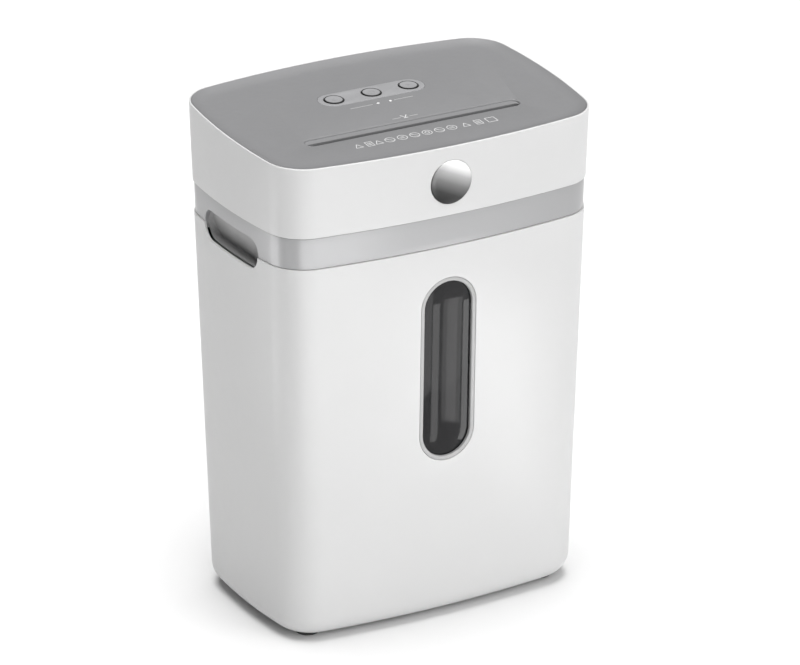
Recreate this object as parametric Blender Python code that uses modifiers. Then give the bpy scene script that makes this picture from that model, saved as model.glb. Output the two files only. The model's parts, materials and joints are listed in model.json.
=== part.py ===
"""Paper shredder: a head with cutters, gears and motor that lifts off a waste bin with a window.

Metres, +Z up, +Y towards the back. The origin is on the floor under the middle of the object.
"""

import math
from collections import namedtuple

import bmesh
import bpy
from mathutils import Matrix, Vector

# ---------------------------------------------------------------- driving dimensions

HEIGHT = 0.475  # rim height at mid depth
TOP_SLOPE = 0.0499  # the top rises this much per metre towards the back
TILT = math.atan(TOP_SLOPE)

Plan = namedtuple("Plan", "half_width half_depth side_bow front_bow back_bow front_corner back_corner")
FLOOR_PLAN = Plan(0.1580, 0.1021, 0.0102, 0.0127, 0.0167, 0.0388, 0.0423)
TOP_PLAN = Plan(0.1693, 0.1144, 0.0115, 0.0154, 0.0162, 0.0381, 0.0387)
LONG_STEPS = 4  # straight pieces in half of a front or back bow
CORNER_STEPS = 6
SIDE_STEPS = 3

GAP = 0.0003  # between pieces that rest on or in each other
WALL = 0.0025

BIN_BASE = 0.0030
BIN_TOP = 0.3726
BIN_FILLET = 0.0199
BAND_LOW = 0.3730
BAND_HIGH = 0.4025
BAND_INSET = 0.0012
BAND_INNER = 0.0050
TONGUE = 0.0060  # how far the band reaches into the bin and into the upper shell
SHELL_LOW = 0.4029
SHELL_WALL = 0.0032
RIM_WIDTH = 0.0019

WINDOW_LOW = 0.1891  # height of the lower arc's centre
WINDOW_HIGH = 0.3135
WINDOW_RADIUS = 0.0287
LENS_RADIUS = 0.0246
BADGE_RADIUS = 0.02095
BADGE_HEIGHT = 0.4351

HANDLE_Y = -0.0006
HANDLE_Z = 0.3735
HANDLE_LENGTH = 0.0509  # half
HANDLE_RADIUS = 0.0146
CUP_WALL = 0.0018
CUP_FLOOR = 0.1490
CUP_RISE = 0.0085  # how far the floor of the recess comes forwards at its top

DISH_DEPTH = 0.0037
DISH_RUN = 0.0150
PANEL_THICKNESS = 0.0025
SLOT_Y = -0.04415
SLOT_LENGTH = 0.1103  # half
SLOT_WIDTH = 0.00705  # half
THROAT_Y = -0.0460
THROAT_LENGTH = 0.1097
THROAT_WIDTH = 0.0028
THROAT_DEPTH = 0.0019
THROAT_BLOCK = 0.0063  # the block under the panel that the throat is cut in

PLATE_Y = 0.0329
PLATE_LENGTH = 0.0543
PLATE_RADIUS = 0.0143
BUTTON_PITCH = 0.0389
BUTTON_RADIUS = 0.0089
BUTTON_HOLE = 0.0098
LIGHT_X = 0.0064
LIGHT_Y = 0.0087
LIGHT_RADIUS = 0.0015
BOARD_DROP = 0.0150  # top of the button board, under the panel's flat

AXIS_Z = 0.4100  # both cutter axes
FRONT_AXIS_Y = -0.0620
REAR_AXIS_Y = -0.0300
SHAFT_RADIUS = 0.0050
SHAFT_BORE = 0.0053
PIN_BORE = 0.0033
CORE_RADIUS = 0.0128
DISC_RADIUS = 0.0185
DISC_WIDTH = 0.0054
DISC_PITCH = 0.0120
DISCS = 18
CORE_HALF = 0.1112

FRAME_X = 0.1125  # inner face of a side plate
FRAME_THICKNESS = 0.0020
FRAME_LOW = 0.3760
FRAME_HIGH = 0.4460

MOTOR_Y = 0.0520
MOTOR_Z = 0.4120
MOTOR_RADIUS = 0.0260

POST_X = 0.1330
POST_Y = 0.0720
TRAY_FLOOR = 0.3736
TRAY_THICKNESS = 0.0020
PLUNGER = Vector((-0.0600, 0.0930))

FINISHES = {  # base colour, roughness, metallic
    "white_plastic": ((0.80, 0.80, 0.80), 0.35, 0.0),
    "grey_plastic": ((0.32, 0.32, 0.33), 0.45, 0.0),
    "light_grey_plastic": ((0.42, 0.42, 0.43), 0.40, 0.0),
    "black_plastic": ((0.03, 0.03, 0.03), 0.50, 0.0),
    "silver_paint": ((0.60, 0.60, 0.60), 0.35, 0.6),
    "chrome": ((0.85, 0.85, 0.86), 0.08, 1.0),
    "smoked_clear": ((0.04, 0.04, 0.045), 0.05, 0.0),
    "clear": ((0.80, 0.80, 0.80), 0.10, 0.0),
    "rubber": ((0.05, 0.05, 0.05), 0.80, 0.0),
    "steel": ((0.55, 0.55, 0.56), 0.30, 1.0),
    "nylon": ((0.75, 0.73, 0.68), 0.45, 0.0),
    "brass": ((0.70, 0.52, 0.20), 0.30, 1.0),
    "board_green": ((0.03, 0.16, 0.06), 0.50, 0.0),
    "red_insulation": ((0.45, 0.02, 0.02), 0.45, 0.0),
}

TO_X = (0.0, math.pi / 2, 0.0)  # turns a piece made about Z so that it lies about X


# ---------------------------------------------------------------- scene and materials


def clear_scene():
    for obj in list(bpy.data.objects):
        bpy.data.objects.remove(obj, do_unlink=True)


def new_collection(name):
    collection = bpy.data.collections.new(name)
    bpy.context.scene.collection.children.link(collection)
    return collection


def finish(name):
    material = bpy.data.materials.get(name)
    if material is None:
        colour, roughness, metallic = FINISHES[name]
        material = bpy.data.materials.new(name)
        material.use_nodes = True
        shader = material.node_tree.nodes["Principled BSDF"]
        shader.inputs["Base Color"].default_value = (*colour, 1.0)
        shader.inputs["Roughness"].default_value = roughness
        shader.inputs["Metallic"].default_value = metallic
        material.diffuse_color = (*colour, 1.0)
    return material


def empty(name, location, parent=None):
    obj = bpy.data.objects.new(name, None)
    obj.empty_display_size = 0.02
    obj.location = location
    if parent:
        obj.parent = parent
        obj.matrix_parent_inverse = parent_place(parent).inverted()
    PARTS.objects.link(obj)
    return obj


def parent_place(parent):
    """The world matrix of an empty, which is only ever moved, and never turned."""
    return Matrix.Translation(parent.location)


def part(name, mesh, material, location=(0, 0, 0), rotation=(0, 0, 0), parent=None):
    """A visible piece at a place given in world coordinates, whatever it is parented to."""
    obj = bpy.data.objects.new(name, mesh)
    mesh.materials.append(finish(material))
    PARTS.objects.link(obj)
    obj.location = location
    obj.rotation_euler = rotation
    if parent:
        obj.parent = parent
        obj.matrix_parent_inverse = parent_place(parent).inverted()
    mesh.shade_smooth()
    mesh.set_sharp_from_angle(angle=math.radians(35))
    return obj


def cutter(name, mesh, location=(0, 0, 0), rotation=(0, 0, 0)):
    obj = bpy.data.objects.new(name, mesh)
    CUTTERS.objects.link(obj)
    obj.location = location
    obj.rotation_euler = rotation
    obj.hide_render = True
    obj.display_type = "WIRE"
    return obj


def combine(obj, other, operation="DIFFERENCE"):
    modifier = obj.modifiers.new(f"{operation.lower()} {other.name}", "BOOLEAN")
    modifier.operation = operation
    modifier.solver = "EXACT"
    modifier.object = other


# ---------------------------------------------------------------- mesh builders


def finished_mesh(name, bm):
    bmesh.ops.recalc_face_normals(bm, faces=bm.faces)
    mesh = bpy.data.meshes.new(name)
    bm.to_mesh(mesh)
    bm.free()
    return mesh


def box(name, low, high):
    """A box mesh between two corners."""
    low = Vector(low)
    size = Vector(high) - low
    bm = bmesh.new()
    bmesh.ops.create_cube(bm, size=1.0)
    bmesh.ops.scale(bm, vec=size, verts=bm.verts)
    bmesh.ops.translate(bm, vec=low + size / 2, verts=bm.verts)
    return finished_mesh(name, bm)


def rod(name, radius, low, high, segments=16):
    """A round bar about Z between two heights, with its flats, not its corners, on the axes."""
    bm = bmesh.new()
    bmesh.ops.create_cone(
        bm, cap_ends=True, segments=segments, radius1=radius, radius2=radius, depth=high - low
    )
    half_step = Matrix.Rotation(math.pi / segments, 3, "Z")
    bmesh.ops.rotate(bm, cent=(0, 0, 0), matrix=half_step, verts=bm.verts)
    bmesh.ops.translate(bm, vec=(0, 0, (low + high) / 2), verts=bm.verts)
    return finished_mesh(name, bm)


def prism(name, outline, low, high):
    """A flat outline in X and Y, extruded from one height to another."""
    bm = bmesh.new()
    face = bm.faces.new([bm.verts.new((x, y, low)) for x, y in outline])
    grown = bmesh.ops.extrude_face_region(bm, geom=[face])
    moved = [item for item in grown["geom"] if isinstance(item, bmesh.types.BMVert)]
    bmesh.ops.translate(bm, vec=(0, 0, high - low), verts=moved)
    return finished_mesh(name, bm)


def loft(name, rings, loop=False):
    """A solid through rings of equal length: capped at both ends, or joined end to end in a loop."""
    bm = bmesh.new()
    rows = [[bm.verts.new(point) for point in ring] for ring in rings]
    pairs = list(zip(rows, rows[1:]))
    if loop:
        pairs.append((rows[-1], rows[0]))
    else:
        bm.faces.new(rows[0])
        bm.faces.new(rows[-1])
    for low, high in pairs:
        for i in range(len(low)):
            j = (i + 1) % len(low)
            bm.faces.new((low[i], low[j], high[j], high[i]))
    return finished_mesh(name, bm)


def turned(name, material, profile, segments=16, closed=False, **place):
    """A turned piece: a profile of (radius, height) that runs down its outer side, with a Screw modifier."""
    bm = bmesh.new()
    points = [bm.verts.new((radius, 0, height)) for radius, height in profile]
    for first, second in zip(points, points[1:]):
        bm.edges.new((first, second))
    if closed:
        bm.edges.new((points[-1], points[0]))
    mesh = bpy.data.meshes.new(name)
    bm.to_mesh(mesh)
    bm.free()
    obj = part(name, mesh, material, **place)
    screw = obj.modifiers.new("turned", "SCREW")
    screw.axis = "Z"
    screw.steps = segments
    screw.render_steps = segments
    screw.use_merge_vertices = True
    screw.merge_threshold = 0.00001
    screw.use_smooth_shade = True
    return obj


# ---------------------------------------------------------------- outlines


def bow_radius(half_chord, bow):
    return (half_chord**2 + bow**2) / (2 * bow)


def arc(centre, radius, start, end, steps):
    """Points along an arc, without its last one."""
    angles = [start + (end - start) * step / steps for step in range(steps)]
    return [(centre[0] + radius * math.cos(a), centre[1] + radius * math.sin(a)) for a in angles]


def plan_at(height):
    share = height / HEIGHT
    return Plan(*(low + (high - low) * share for low, high in zip(FLOOR_PLAN, TOP_PLAN)))


def quarter(plan, bow, corner, inset):
    """The outline from the middle of the front to just before the middle of the right side."""
    long_radius = bow_radius(plan.half_width, bow)
    side_radius = bow_radius(plan.half_depth, plan.side_bow)
    long_centre = Vector((0.0, long_radius - plan.half_depth))
    side_centre = Vector((plan.half_width - side_radius, 0.0))
    # The corner's arc touches both bows from inside, which places its centre.
    between = side_centre - long_centre
    along = (between.length_squared + (long_radius - corner) ** 2 - (side_radius - corner) ** 2) / (
        2 * between.length
    )
    across = math.sqrt((long_radius - corner) ** 2 - along**2)
    unit = between.normalized()
    corner_centre = long_centre + unit * along + Vector((-unit.y, unit.x)) * across
    first = math.atan2(*(corner_centre - long_centre).yx)
    last = math.atan2(*(corner_centre - side_centre).yx)
    return (
        arc(long_centre, long_radius - inset, -math.pi / 2, first, LONG_STEPS)
        + arc(corner_centre, corner - inset, first, last, CORNER_STEPS)
        + arc(side_centre, side_radius - inset, last, 0.0, SIDE_STEPS)
    )


def outline(height, inset=0.0):
    """The body's outline at a height, moved inwards by inset, anticlockwise from the front middle."""
    plan = plan_at(height)
    side_middle = (plan.half_width - inset, 0.0)
    front = quarter(plan, plan.front_bow, plan.front_corner, inset)
    back = quarter(plan, plan.back_bow, plan.back_corner, inset)
    right = front + [side_middle] + [(x, -y) for x, y in reversed(back)]
    return right + [(-x, y) for x, y in reversed(right[1:-1])]


def level_ring(height, inset):
    return [(x, y, height) for x, y in outline(height, inset)]


def rim_z(y):
    return HEIGHT + TOP_SLOPE * y


def flat_z(y):
    """The flat middle of the top panel."""
    return rim_z(y) - DISH_DEPTH


def rim_ring(inset, drop):
    return [(x, y, rim_z(y) - drop) for x, y in outline(HEIGHT, inset)]


def front_y(x, height, inset=0.0):
    plan = plan_at(height)
    radius = bow_radius(plan.half_width, plan.front_bow)
    return radius - plan.half_depth - math.sqrt((radius - inset) ** 2 - x**2)


def back_y(x, height):
    plan = plan_at(height)
    radius = bow_radius(plan.half_width, plan.back_bow)
    return plan.half_depth - radius + math.sqrt(radius**2 - x**2)


def side_x(y, height, inset=0.0):
    plan = plan_at(height)
    radius = bow_radius(plan.half_depth, plan.side_bow)
    return plan.half_width - radius + math.sqrt((radius - inset) ** 2 - y**2)


def capsule(length, radius, steps=8):
    """A flat outline with two round ends along X, length being half of the whole."""
    middle = length - radius
    right = arc((middle, 0), radius, -math.pi / 2, math.pi / 2, steps) + [(middle, radius)]
    return right + [(-x, -y) for x, y in right]


# ---------------------------------------------------------------- waste bin


def bowl_rings(fillet, wall):
    """Rings up a wall from a flat floor through its rounded edge, wall being the distance inside."""
    steps = 4
    for step in range(steps + 1):
        angle = math.pi / 2 * step / steps
        inset = wall + fillet * (1 - math.sin(angle))
        yield level_ring(BIN_BASE + wall + fillet * (1 - math.cos(angle)), inset)


def handle_cutter():
    shape = capsule(HANDLE_LENGTH, HANDLE_RADIUS)
    rings = [[(x, HANDLE_Y + u, HANDLE_Z + v) for u, v in shape] for x in (-0.2, 0.2)]
    return cutter("handle_cut", loft("handle_cut", rings))


def window_ring(radius, inset):
    """A capsule on the curved front wall, at a depth under its face."""
    middle = (WINDOW_LOW + WINDOW_HIGH) / 2
    half = (WINDOW_HIGH - WINDOW_LOW) / 2 + radius
    points = [(v, middle + u) for u, v in capsule(half, radius, 9)]
    return [(x, front_y(x, z, inset), z) for x, z in points]


def bin_shell(handles):
    rings = list(bowl_rings(BIN_FILLET, 0.0))
    rings.append(level_ring(BIN_TOP, 0.0))
    rings.append(level_ring(BIN_TOP, WALL))
    rings += reversed(list(bowl_rings(BIN_FILLET - WALL, WALL)))
    obj = part("bin_shell", loft("bin_shell", rings), "white_plastic")
    window = [window_ring(WINDOW_RADIUS, -0.01), window_ring(WINDOW_RADIUS, 0.01)]
    combine(obj, handles)
    combine(obj, cutter("window_cut", loft("window_cut", window)))
    rib_low = (PLUNGER.x - 0.004, PLUNGER.y - 0.006, 0.352)
    rib_high = (PLUNGER.x + 0.004, 0.1080, 0.366)
    combine(obj, cutter("interlock_rib", box("interlock_rib", rib_low, rib_high)), "UNION")


def window_frame():
    outer = WINDOW_RADIUS - GAP
    rings = [
        window_ring(outer, 0.0003),
        window_ring(outer, 0.0015),
        window_ring(LENS_RADIUS, 0.0015),
        window_ring(LENS_RADIUS, 0.0009),
        window_ring(LENS_RADIUS + 0.0006, 0.0003),
    ]
    part("window_frame", loft("window_frame", rings, loop=True), "white_plastic")


def window_lens():
    outer = WINDOW_RADIUS - GAP
    rings = [window_ring(outer, 0.0018), window_ring(outer, 0.0038)]
    part("window_lens", loft("window_lens", rings), "smoked_clear")


def feet():
    top = BIN_BASE - GAP
    profile = [(0, top), (0.0110, top), (0.0110, 0.0006), (0.0104, 0), (0, 0)]
    for y, depth in ((-0.066, "front"), (0.062, "back")):
        for x, side in ((-0.124, "left"), (0.124, "right")):
            turned(f"foot_{depth}_{side}", "rubber", profile, location=(x, y, 0))


# ---------------------------------------------------------------- head housing


def upper_shell():
    rings = [
        level_ring(SHELL_LOW, 0.0),
        rim_ring(0.0, 0.0010),
        rim_ring(0.0006, 0.0),
        rim_ring(0.0013, 0.0),
        rim_ring(RIM_WIDTH, 0.0008),
        rim_ring(RIM_WIDTH, 0.0032),
        rim_ring(SHELL_WALL, 0.0032),
        level_ring(SHELL_LOW, SHELL_WALL - 0.0002),
    ]
    obj = part("upper_shell", loft("upper_shell", rings, loop=True), "white_plastic", parent=HEAD)
    pocket = rod("badge_pocket", BADGE_RADIUS + GAP, -0.0010, 0.01, 32)
    combine(obj, cutter("badge_pocket", pocket, *badge_place()))
    hole = rod("gland_hole", 0.0073, -0.02, 0.01)
    combine(obj, cutter("gland_hole", hole, *gland_place()))


def badge_place():
    """Location on the front wall, and the turn that points local Z out of it."""
    lean = math.atan((TOP_PLAN.half_depth - FLOOR_PLAN.half_depth) / HEIGHT)
    return (0, front_y(0, BADGE_HEIGHT), BADGE_HEIGHT), (math.pi / 2 + lean, 0, 0)


def badge_disc():
    edge = BADGE_RADIUS
    profile = [(0, 0.0008), (edge - 0.0006, 0.0008), (edge, 0.0002), (edge, -0.0007), (0, -0.0007)]
    location, rotation = badge_place()
    turned(
        "badge_disc", "chrome", profile, 32, location=location, rotation=rotation, parent=HEAD
    )


def gland_place():
    x = -0.110
    z = 0.425
    turn = math.asin(x / bow_radius(TOP_PLAN.half_width, TOP_PLAN.back_bow))
    return (x, back_y(x, z), z), (-math.pi / 2, 0, -turn)


def cord_gland():
    profile = [
        (0.0033, 0.0024),
        (0.0085, 0.0024),
        (0.0095, 0.0014),
        (0.0095, 0.0006),
        (0.0070, 0.0006),
        (0.0070, -0.0070),
        (0.0033, -0.0070),
    ]
    location, rotation = gland_place()
    turned(
        "cord_gland",
        "black_plastic",
        profile,
        closed=True,
        location=location,
        rotation=rotation,
        parent=HEAD,
    )


def silver_band(handles):
    rings = [
        level_ring(BAND_LOW, BAND_INSET),
        level_ring(BAND_HIGH, BAND_INSET),
        level_ring(BAND_HIGH, SHELL_WALL + GAP),
        level_ring(BAND_HIGH + TONGUE, SHELL_WALL + GAP),
        level_ring(BAND_HIGH + TONGUE, BAND_INNER),
        level_ring(BAND_LOW - TONGUE, BAND_INNER),
        level_ring(BAND_LOW - TONGUE, WALL + 0.0005),
        level_ring(BAND_LOW, WALL + 0.0005),
    ]
    obj = part("silver_band", loft("silver_band", rings, loop=True), "silver_paint", parent=HEAD)
    combine(obj, handles)


def cup_floor_x(z):
    """The recess is deepest at its bottom edge."""
    share = (z - HANDLE_Z + HANDLE_RADIUS) / (2 * HANDLE_RADIUS)
    return CUP_FLOOR + CUP_WALL + (CUP_RISE - CUP_WALL) * share


def handle_cup(name, side):
    """The closed pocket behind one side opening; side is 1 on the right and -1 on the left."""

    def mouth(shape):
        points = [(HANDLE_Y + u, HANDLE_Z + v) for u, v in shape]
        return [(side * side_x(y, z, BAND_INNER + GAP), y, z) for y, z in points]

    outer = capsule(HANDLE_LENGTH + CUP_WALL, HANDLE_RADIUS + CUP_WALL)
    inner = capsule(HANDLE_LENGTH, HANDLE_RADIUS)
    back = [(side * CUP_FLOOR, HANDLE_Y + u, HANDLE_Z + v) for u, v in outer]
    floor = [(side * cup_floor_x(HANDLE_Z + v), HANDLE_Y + u, HANDLE_Z + v) for u, v in inner]
    rings = [back, mouth(outer), mouth(inner), floor]
    part(name, loft(name, rings), "silver_paint", parent=HEAD)


def base_tray():
    edge = BAND_INNER + GAP
    top = TRAY_FLOOR + 0.0080
    rings = [
        level_ring(TRAY_FLOOR, edge),
        level_ring(top, edge),
        level_ring(top, edge + TRAY_THICKNESS),
        level_ring(TRAY_FLOOR + TRAY_THICKNESS, edge + TRAY_THICKNESS),
    ]
    obj = part("base_tray", loft("base_tray", rings), "black_plastic", parent=HEAD)
    outlet = box("outlet", (-0.108, -0.082, 0.36), (0.108, -0.012, 0.39))
    combine(obj, cutter("outlet", outlet))
    reach = HANDLE_LENGTH + CUP_WALL + 0.0007
    for side in (-1, 1):
        ends = sorted((side * (CUP_FLOOR - 0.0007), side * 0.18))
        low = (ends[0], HANDLE_Y - reach, 0.36)
        high = (ends[1], HANDLE_Y + reach, 0.39)
        combine(obj, cutter(f"cup_notch_{side}", box(f"cup_notch_{side}", low, high)))
        for end in (-1, 1):
            name = f"screw_hole_{side}_{end}"
            hole = rod(name, 0.0021, 0.36, 0.39, 12)
            combine(obj, cutter(name, hole, (side * POST_X, end * POST_Y, 0)))
    hole = rod("plunger_hole", 0.0029, 0.36, 0.39, 12)
    combine(obj, cutter("plunger_hole", hole, (*PLUNGER, 0)))


def housing_screws():
    under = TRAY_FLOOR - GAP
    profile = [
        (0, 0.3880),
        (0.0017, 0.3880),
        (0.0017, under),
        (0.0036, under),
        (0.0030, under - 0.0018),
        (0, under - 0.0018),
    ]
    for x, side in ((-POST_X, "left"), (POST_X, "right")):
        for y, depth in ((-POST_Y, "front"), (POST_Y, "back")):
            turned(
                f"housing_screw_{depth}_{side}",
                "steel",
                profile,
                12,
                location=(x, y, 0),
                parent=HEAD,
            )


# ---------------------------------------------------------------- top panel and controls


def slope_ring(shape, centre_y, drop):
    """A flat outline laid on the sloping flat of the panel, at a depth under it."""
    points = [(x, centre_y + y) for x, y in shape]
    return [(x, y, flat_z(y) - drop) for x, y in points]


def slot_cutter():
    mouth = capsule(SLOT_LENGTH, SLOT_WIDTH)
    throat = capsule(THROAT_LENGTH, THROAT_WIDTH)
    rings = [
        slope_ring(mouth, SLOT_Y, -0.0100),
        slope_ring(mouth, SLOT_Y, 0.0004),
        slope_ring(throat, THROAT_Y, THROAT_DEPTH),
        slope_ring(throat, THROAT_Y, 0.0200),
    ]
    return cutter("slot", loft("slot", rings))


def dish_rings():
    """The panel's top from its edge down the hollow border to the flat."""
    edge = RIM_WIDTH + GAP
    start = 0.0002
    fall = DISH_DEPTH - start
    radius = bow_radius(DISH_RUN, fall)
    steps = 3
    for step in range(steps + 1):
        left = DISH_RUN * (1 - step / steps)
        drop = DISH_DEPTH - (radius - math.sqrt(radius**2 - left**2))
        yield rim_ring(edge + DISH_RUN - left, drop)


def top_panel():
    edge = RIM_WIDTH + GAP
    under = DISH_DEPTH + PANEL_THICKNESS
    rings = [rim_ring(edge + DISH_RUN, under), rim_ring(edge, 0.0028), *dish_rings()]
    obj = part("top_panel", loft("top_panel", rings), "grey_plastic", parent=HEAD)
    block = box("throat_block", (-0.1135, -0.011, -THROAT_BLOCK), (0.1135, 0.011, -0.0010))
    place = ((0, THROAT_Y + 0.002, flat_z(THROAT_Y + 0.002)), (TILT, 0, 0))
    combine(obj, cutter("throat_block", block, *place), "UNION")
    foot = TRAY_FLOOR + TRAY_THICKNESS + 0.0005
    for side in (-1, 1):
        for end in (-1, 1):
            name = f"post_{side}_{end}"
            high = flat_z(end * POST_Y) - 0.0012
            spot = (side * POST_X, end * POST_Y, 0)
            combine(obj, cutter(name, rod(name, 0.0045, foot, high, 12), spot), "UNION")
            pilot = rod(f"pilot_{side}_{end}", 0.0021, foot - 0.01, 0.3900, 12)
            combine(obj, cutter(f"pilot_{side}_{end}", pilot, spot))
    combine(obj, slot_cutter())
    opening = capsule(PLATE_LENGTH, PLATE_RADIUS + 0.0001)
    rings = [slope_ring(opening, PLATE_Y, drop) for drop in (-0.01, 0.01)]
    combine(obj, cutter("plate_opening", loft("plate_opening", rings)))
    for side in (-1, 1):
        name = f"light_hole_{side}"
        hole = rod(name, LIGHT_RADIUS + GAP, -0.01, 0.01, 12)
        spot = (side * LIGHT_X, LIGHT_Y, flat_z(LIGHT_Y))
        combine(obj, cutter(name, hole, spot, (TILT, 0, 0)))


def button_plate():
    body = capsule(PLATE_LENGTH - 0.0002, PLATE_RADIUS - 0.0002)
    flange = capsule(PLATE_LENGTH + 0.0016, PLATE_RADIUS + 0.0016)
    under = PANEL_THICKNESS + GAP
    rings = [
        slope_ring(body, PLATE_Y, 0.0),
        slope_ring(body, PLATE_Y, under),
        slope_ring(flange, PLATE_Y, under),
        slope_ring(flange, PLATE_Y, under + 0.0015),
    ]
    obj = part("button_plate", loft("button_plate", rings), "light_grey_plastic", parent=HEAD)
    for index, x in enumerate((-BUTTON_PITCH, 0.0, BUTTON_PITCH)):
        name = f"button_hole_{index}"
        hole = rod(name, BUTTON_HOLE, -0.01, 0.01, 24)
        combine(obj, cutter(name, hole, (x, PLATE_Y, flat_z(PLATE_Y)), (TILT, 0, 0)))


def buttons():
    profile = [
        (0, 0.0003),
        (0.0060, 0.0005),
        (BUTTON_RADIUS - 0.0004, 0.0007),
        (BUTTON_RADIUS, 0.0003),
        (BUTTON_RADIUS, -0.0046),
        (0.0112, -0.0046),
        (0.0112, -0.0060),
        (0.0020, -0.0060),
        (0.0020, -0.0083),
        (0, -0.0083),
    ]
    for name, x in (("left", -BUTTON_PITCH), ("middle", 0.0), ("right", BUTTON_PITCH)):
        spot = (x, PLATE_Y, flat_z(PLATE_Y))
        turned(
            f"button_{name}",
            "light_grey_plastic",
            profile,
            20,
            location=spot,
            rotation=(TILT, 0, 0),
            parent=HEAD,
        )


def square(half, height):
    """Eight points round a square, so that it can meet an eight-sided ring."""
    corners = [(1, 0), (1, 1), (0, 1), (-1, 1), (-1, 0), (-1, -1), (0, -1), (1, -1)]
    return [(half * x, half * y, height) for x, y in corners]


def eight(radius, height):
    return [(x, y, height) for x, y in arc((0, 0), radius, 0, 2 * math.pi, 8)]


def button_board():
    thickness = 0.0016
    top = -BOARD_DROP
    board = box("button_board", (-0.053, -0.022, top - thickness), (0.053, 0.022, top))
    middle_y = 0.025
    place = {"location": (0, middle_y, flat_z(middle_y)), "rotation": (TILT, 0, 0)}
    part("button_board", board, "board_green", parent=HEAD, **place)
    foot = top + GAP
    for name, x in (("left", -BUTTON_PITCH), ("middle", 0.0), ("right", BUTTON_PITCH)):
        rings = [
            square(0.0031, foot),
            square(0.0031, foot + 0.0035),
            eight(0.0017, foot + 0.0035),
            eight(0.0017, foot + 0.0046),
        ]
        switch = loft(f"button_switch_{name}", rings)
        place["location"] = (x, PLATE_Y, flat_z(PLATE_Y))
        part(f"button_switch_{name}", switch, "black_plastic", parent=HEAD, **place)


def light_pipes():
    under = PANEL_THICKNESS + GAP
    profile = [
        (0, 0.0001),
        (LIGHT_RADIUS, -0.0001),
        (LIGHT_RADIUS, -under),
        (0.0026, -under),
        (0.0026, -under - 0.0012),
        (LIGHT_RADIUS, -under - 0.0012),
        (LIGHT_RADIUS, -BOARD_DROP + GAP),
        (0, -BOARD_DROP + GAP),
    ]
    for name, x in (("left", -LIGHT_X), ("right", LIGHT_X)):
        spot = (x, LIGHT_Y, flat_z(LIGHT_Y))
        turned(
            f"light_pipe_{name}",
            "clear",
            profile,
            12,
            location=spot,
            rotation=(TILT, 0, 0),
            parent=HEAD,
        )


# ---------------------------------------------------------------- paper path


def rectangle(half_x, low_y, high_y, z):
    return [(-half_x, low_y, z), (half_x, low_y, z), (half_x, high_y, z), (-half_x, high_y, z)]


def paper_guide():
    rings = [
        rectangle(0.1117, -0.0560, -0.0360, 0.4618),
        rectangle(0.1117, -0.0560, -0.0360, 0.4598),
        rectangle(0.1110, -0.0508, -0.0412, 0.4598),
        rectangle(0.1110, -0.0508, -0.0412, 0.4255),
        rectangle(0.1092, -0.0489, -0.0431, 0.4255),
        rectangle(0.1092, -0.0489, -0.0431, 0.4560),
        rectangle(0.1092, -0.0500, -0.0420, 0.4618),
    ]
    obj = part("paper_guide", loft("paper_guide", rings, loop=True), "black_plastic", parent=HEAD)
    slit = box("sensor_slit", (-0.005, -0.0440, 0.4300), (0.005, -0.0400, 0.4585))
    combine(obj, cutter("sensor_slit", slit))


SENSOR_AXIS = Vector((0, -0.0340, 0.4500))


def paper_lever():
    """A finger across the throat, a flag behind it and two stub pins, about X."""
    hub = part(
        "paper_lever",
        rod("paper_lever", 0.0030, -0.0030, 0.0030, 12),
        "black_plastic",
        location=SENSOR_AXIS,
        rotation=TO_X,
        parent=HEAD,
    )
    finger_angle = math.radians(31.3)  # below the horizontal, towards the front
    finger = box("sensor_finger", (-0.0020, -0.0160, -0.0008), (0.0020, -0.0015, 0.0008))
    flag = box("sensor_flag", (-0.0012, 0.0015, -0.0008), (0.0012, 0.0095, 0.0008))
    for bar in (finger, flag):
        bar.transform(Matrix.Rotation(finger_angle, 4, "X"))
        combine(hub, cutter(bar.name, bar, SENSOR_AXIS), "UNION")
    pins = rod("sensor_pins", 0.0012, -0.0056, 0.0056, 12)
    combine(hub, cutter("sensor_pins", pins, SENSOR_AXIS, TO_X), "UNION")


def sensor_holder():
    top = box("sensor_holder", (-0.0062, -0.0408, 0.4580), (0.0062, -0.0270, 0.4595))
    obj = part("sensor_holder", top, "black_plastic", parent=HEAD)
    for side in (-1, 1):
        ends = sorted((side * 0.0040, side * 0.0062))
        name = f"sensor_ear_{side}"
        ear = box(name, (ends[0], -0.0372, 0.4462), (ends[1], -0.0308, 0.4587))
        combine(obj, cutter(name, ear), "UNION")
    hole = rod("sensor_bore", 0.0015, -0.01, 0.01, 12)
    combine(obj, cutter("sensor_bore", hole, SENSOR_AXIS, TO_X))


# ---------------------------------------------------------------- cutters


def disc_centres(offset):
    first = -DISC_PITCH * (DISCS - 1) / 2 + offset
    return [first + DISC_PITCH * index for index in range(DISCS)]


def cutter_roller(name, centres, left_end, right_end, y, parent):
    """A shaft with a core and a row of discs, as a profile from its right end to its left."""
    profile = [(0, right_end), (SHAFT_RADIUS, right_end)]
    profile += [(SHAFT_RADIUS, CORE_HALF), (CORE_RADIUS, CORE_HALF)]
    for centre in reversed(centres):
        high = centre + DISC_WIDTH / 2
        low = centre - DISC_WIDTH / 2
        profile += [(CORE_RADIUS, high), (DISC_RADIUS, high), (DISC_RADIUS, low), (CORE_RADIUS, low)]
    profile += [(CORE_RADIUS, -CORE_HALF), (SHAFT_RADIUS, -CORE_HALF)]
    profile += [(SHAFT_RADIUS, left_end), (0, left_end)]
    turned(name, "steel", profile, 12, location=(0, y, AXIS_Z), rotation=TO_X, parent=parent)


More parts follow.
